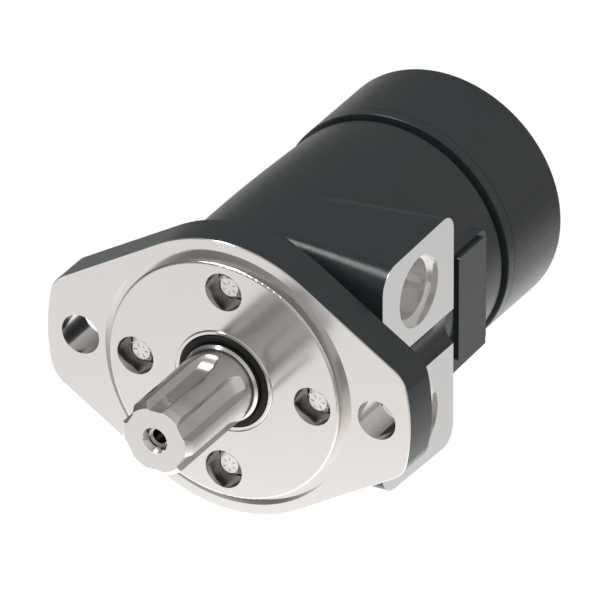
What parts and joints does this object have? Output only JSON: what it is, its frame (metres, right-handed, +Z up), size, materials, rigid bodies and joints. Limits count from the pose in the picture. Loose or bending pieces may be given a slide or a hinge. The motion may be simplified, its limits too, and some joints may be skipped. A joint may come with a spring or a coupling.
{
  "type": "hydraulic motor",
  "caption": "Low-speed orbital hydraulic motor with a lozenge mounting flange, splined output shaft, side ports and a gerotor section behind a cylindrical housing.",
  "frame": {"origin": "centre of the flange's mounting face, on the shaft's axis", "axes": "+Y runs back along the shaft's axis, away from the shaft's free end; the two mounting holes lie on X; the ports face +X; +Z is up"},
  "size_m": [0.1304, 0.1825, 0.0956],
  "materials": {
    "flange": "machined front, painted edge",
    "housing": "semi-gloss charcoal paint, machined port faces",
    "painted_rings": "semi-gloss charcoal paint",
    "shaft": "ground",
    "screws": "plated",
    "seals": "matte",
    "cage": "stamped",
    "hardened_steel": "ground"
  },
  "bodies": {
    "casing": {"mounting_flange": "flange", "flange_screws": "screws", "dust_seal_case": "hardened_steel", "dust_seal": "seals", "shaft_seal": "seals", "seal_backup_washer": "hardened_steel", "flange_oring": "seals", "front_thrust_race": "hardened_steel", "housing": "housing", "check_plugs": "hardened_steel", "housing_oring": "seals", "spacer_plate": "painted_rings", "spacer_oring": "seals", "geroler_ring": "painted_rings", "cover_oring": "seals", "end_cover": "painted_rings", "end_cover_bolts": "screws"},
    "shaft": {"output_shaft": "shaft", "rear_thrust_race": "hardened_steel"},
    "bearing_cage": {"thrust_cage": "cage", "thrust_needles": "hardened_steel"},
    "orbit": {"drive_spacer": "hardened_steel"},
    "star": {"gerotor_star": "hardened_steel"},
    "link": {"drive_link": "hardened_steel"},
    "roller_1": {"roller_1": "hardened_steel"},
    "roller_2": {"roller_2": "hardened_steel"},
    "roller_3": {"roller_3": "hardened_steel"},
    "roller_4": {"roller_4": "hardened_steel"},
    "roller_5": {"roller_5": "hardened_steel"},
    "roller_6": {"roller_6": "hardened_steel"},
    "roller_7": {"roller_7": "hardened_steel"},
    "check_a": {"check_ball_a": "hardened_steel"},
    "check_b": {"check_ball_b": "hardened_steel"}
  },
  "joints": [
    {"name": "shaft_spin", "type": "hinge", "parent": "casing", "child": "shaft", "pos_m": [0, 0, 0], "axis": [0, 1, 0], "continuous": true},
    {"name": "cage_spin", "type": "hinge", "parent": "casing", "child": "bearing_cage", "pos_m": [0, 0.0165, 0], "axis": [0, 1, 0], "continuous": true},
    {"name": "orbit_turn", "type": "hinge", "parent": "casing", "child": "orbit", "pos_m": [0, 0.114, 0], "axis": [0, 1, 0], "continuous": true},
    {"name": "star_spin", "type": "hinge", "parent": "orbit", "child": "star", "pos_m": [0.0025, 0.114, 0], "axis": [0, 1, 0], "continuous": true},
    {"name": "link_spin", "type": "hinge", "parent": "orbit", "child": "link", "pos_m": [0, 0.06, 0], "axis": [0.0471, 0.9989, 0], "continuous": true},
    {"name": "roller_1_spin", "type": "hinge", "parent": "casing", "child": "roller_1", "pos_m": [0.027, 0.114, 0], "axis": [0, 1, 0], "continuous": true},
    {"name": "roller_2_spin", "type": "hinge", "parent": "casing", "child": "roller_2", "pos_m": [0.01683, 0.114, 0.02111], "axis": [0, 1, 0], "continuous": true},
    {"name": "roller_3_spin", "type": "hinge", "parent": "casing", "child": "roller_3", "pos_m": [-0.00601, 0.114, 0.02632], "axis": [0, 1, 0], "continuous": true},
    {"name": "roller_4_spin", "type": "hinge", "parent": "casing", "child": "roller_4", "pos_m": [-0.02433, 0.114, 0.01171], "axis": [0, 1, 0], "continuous": true},
    {"name": "roller_5_spin", "type": "hinge", "parent": "casing", "child": "roller_5", "pos_m": [-0.02433, 0.114, -0.01171], "axis": [0, 1, 0], "continuous": true},
    {"name": "roller_6_spin", "type": "hinge", "parent": "casing", "child": "roller_6", "pos_m": [-0.00601, 0.114, -0.02632], "axis": [0, 1, 0], "continuous": true},
    {"name": "roller_7_spin", "type": "hinge", "parent": "casing", "child": "roller_7", "pos_m": [0.01683, 0.114, -0.02111], "axis": [0, 1, 0], "continuous": true},
    {"name": "check_a_lift", "type": "slide", "parent": "casing", "child": "check_a", "axis": [0, 1, 0], "range_m": [0, 0.0015]},
    {"name": "check_b_lift", "type": "slide", "parent": "casing", "child": "check_b", "axis": [0, 1, 0], "range_m": [0, 0.0015]}
  ],
  "couplings": [
    {"joint": "cage_spin", "follows": "shaft_spin", "ratio": 0.5},
    {"joint": "orbit_turn", "follows": "shaft_spin", "ratio": -6},
    {"joint": "star_spin", "follows": "shaft_spin", "ratio": 7},
    {"joint": "link_spin", "follows": "shaft_spin", "ratio": 7},
    {"joint": "roller_1_spin", "follows": "shaft_spin", "ratio": -3.5},
    {"joint": "roller_2_spin", "follows": "shaft_spin", "ratio": -3.5},
    {"joint": "roller_3_spin", "follows": "shaft_spin", "ratio": -3.5},
    {"joint": "roller_4_spin", "follows": "shaft_spin", "ratio": -3.5},
    {"joint": "roller_5_spin", "follows": "shaft_spin", "ratio": -3.5},
    {"joint": "roller_6_spin", "follows": "shaft_spin", "ratio": -3.5},
    {"joint": "roller_7_spin", "follows": "shaft_spin", "ratio": -3.5}
  ]
}
